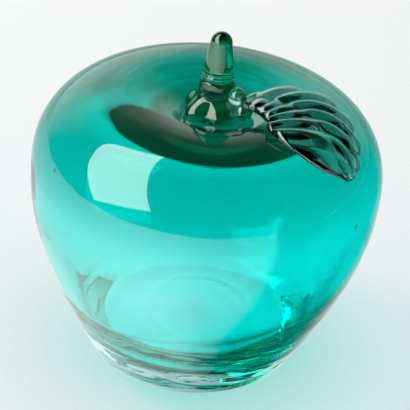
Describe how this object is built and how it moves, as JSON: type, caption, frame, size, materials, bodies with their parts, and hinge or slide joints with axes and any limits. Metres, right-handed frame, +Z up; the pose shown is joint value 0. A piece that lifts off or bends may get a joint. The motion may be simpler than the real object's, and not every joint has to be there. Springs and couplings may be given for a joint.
{
  "type": "art glass apple",
  "caption": "Hollow blown glass apple in clear glass over teal, with a drawn stem in a shallow dimple and a thick pressed leaf bent over the shoulder.",
  "frame": {"origin": "on the table, straight below the middle of the body's widest section", "axes": "+Z up, +X to the side the leaf lies over, -Y towards the front; the body leans a little to +X"},
  "size_m": [0.1151, 0.115, 0.1162],
  "materials": {
    "casing_glass": "clear polished glass with a faint aqua tint",
    "bubble_glass": "strong transparent teal glass, fire-polished",
    "stem_glass": "deep green-teal transparent glass, fire-polished",
    "leaf_glass": "pale green transparent glass, pressed and fire-polished",
    "joint_glass": "pale green transparent glass, fire-polished"
  },
  "bodies": {
    "root": {"clear_casing": "casing_glass", "colour_bubble": "bubble_glass", "stem_foot": "stem_glass", "stem": "stem_glass", "leaf": "leaf_glass", "leaf_joint_upper": "joint_glass", "leaf_joint_lower": "joint_glass"}
  },
  "joints": []
}
